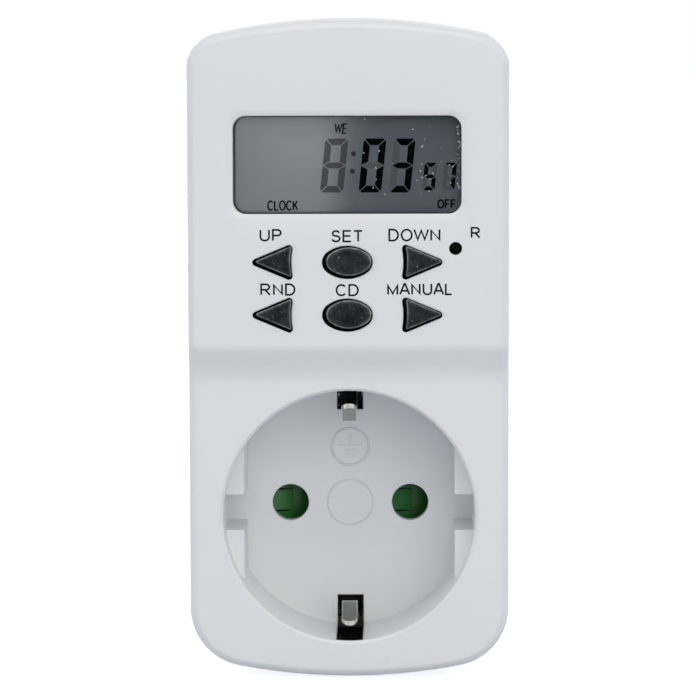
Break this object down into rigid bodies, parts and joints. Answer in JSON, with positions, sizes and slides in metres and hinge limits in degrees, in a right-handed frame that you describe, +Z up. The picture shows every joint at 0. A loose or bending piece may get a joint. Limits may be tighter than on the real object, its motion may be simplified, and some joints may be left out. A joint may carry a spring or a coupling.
{
  "type": "digital plug-in timer",
  "caption": "Digital plug-in timer: flat white box with a display and rubber keys above a recessed socket well, and a plug on its back in line with the well.",
  "frame": {"origin": "midway between the two plug pins, on the face of the plug nose that meets the wall socket", "axes": "+Y into the wall along the plug pins, +Z up, +X to the right of a person who faces the timer"},
  "size_m": [0.05, 0.0721, 0.1022],
  "materials": {
    "white_plastic": "cool white moulded plastic, satin",
    "inner_plastic": "plain white moulded plastic",
    "clear_plastic": "clear, slightly dusty",
    "lcd_glass": "grey LCD glass with its polarisers",
    "black_plastic": "moulded",
    "zebra_rubber": "layered connector rubber",
    "key_rubber": "dark grey, matt",
    "board": "green solder mask",
    "nickel": "nickel-plated, dull",
    "pin_nickel": "nickel-plated brass, polished",
    "steel": "plain",
    "brass": "rolled",
    "blue_plastic": "moulded",
    "yellow_plastic": "moulded",
    "resistor_lacquer": "lacquered",
    "fuse_glass": "tube",
    "capacitor_sleeve": "shrunk sleeve",
    "green_plastic": "moulded"
  },
  "bodies": {
    "housing": {"front_cover": "white_plastic", "rear_cover": "white_plastic", "lcd_window": "clear_plastic", "lcd_glass": "lcd_glass", "lcd_holder": "black_plastic", "lcd_connectors": "zebra_rubber", "keypad_mat": "key_rubber", "control_board": "board", "control_chip": "black_plastic", "quartz_crystal": "nickel", "backup_battery": "steel", "board_header": "black_plastic", "power_board": "board", "relay": "blue_plastic", "film_capacitor": "yellow_plastic", "bridge_rectifier": "black_plastic", "resistors": "resistor_lacquer", "fuse": "fuse_glass", "smoothing_capacitor": "capacitor_sleeve", "varistor": "blue_plastic", "live_pin": "pin_nickel", "neutral_pin": "pin_nickel", "live_strap": "brass", "neutral_strap": "brass", "live_contact": "brass", "neutral_contact": "brass", "switched_strap": "brass", "earth_bar": "nickel", "upper_plug_contact": "nickel", "lower_plug_contact": "nickel", "contact_carrier": "inner_plastic", "shutter_spring": "steel"},
    "shutter_slide": {"shutter": "green_plastic"},
    "upper_clip": {"upper_earth_clip": "nickel"},
    "lower_clip": {"lower_earth_clip": "nickel"},
    "up_key_cap": {"up_key": "key_rubber"},
    "set_key_cap": {"set_key": "key_rubber"},
    "down_key_cap": {"down_key": "key_rubber"},
    "random_key_cap": {"random_key": "key_rubber"},
    "countdown_key_cap": {"countdown_key": "key_rubber"},
    "manual_key_cap": {"manual_key": "key_rubber"},
    "reset_key_cap": {"reset_key": "key_rubber"}
  },
  "joints": [
    {"name": "up_key_press", "type": "slide", "parent": "housing", "child": "up_key_cap", "axis": [0, 1, 0], "range_m": [0, 0.0009], "stiffness_N_per_m": 1500},
    {"name": "set_key_press", "type": "slide", "parent": "housing", "child": "set_key_cap", "axis": [0, 1, 0], "range_m": [0, 0.0009], "stiffness_N_per_m": 1500},
    {"name": "down_key_press", "type": "slide", "parent": "housing", "child": "down_key_cap", "axis": [0, 1, 0], "range_m": [0, 0.0009], "stiffness_N_per_m": 1500},
    {"name": "random_key_press", "type": "slide", "parent": "housing", "child": "random_key_cap", "axis": [0, 1, 0], "range_m": [0, 0.0009], "stiffness_N_per_m": 1500},
    {"name": "countdown_key_press", "type": "slide", "parent": "housing", "child": "countdown_key_cap", "axis": [0, 1, 0], "range_m": [0, 0.0009], "stiffness_N_per_m": 1500},
    {"name": "manual_key_press", "type": "slide", "parent": "housing", "child": "manual_key_cap", "axis": [0, 1, 0], "range_m": [0, 0.0009], "stiffness_N_per_m": 1500},
    {"name": "reset_key_press", "type": "slide", "parent": "housing", "child": "reset_key_cap", "axis": [0, 1, 0], "range_m": [0, 0.0006], "stiffness_N_per_m": 1500},
    {"name": "shutter_slide_left", "type": "slide", "parent": "housing", "child": "shutter_slide", "axis": [-1, 0, 0], "range_m": [0, 0.006], "stiffness_N_per_m": 150, "springref_m": -0.002, "deforming": ["shutter_spring"]},
    {"name": "upper_clip_flex", "type": "hinge", "parent": "housing", "child": "upper_clip", "pos_m": [0, -0.0284, 0.0182], "axis": [-1, 0, 0], "range_deg": [0, 6.5], "stiffness_Nm_per_rad": 1},
    {"name": "lower_clip_flex", "type": "hinge", "parent": "housing", "child": "lower_clip", "pos_m": [0, -0.0284, -0.0182], "axis": [1, 0, 0], "range_deg": [0, 6.5], "stiffness_Nm_per_rad": 1}
  ]
}
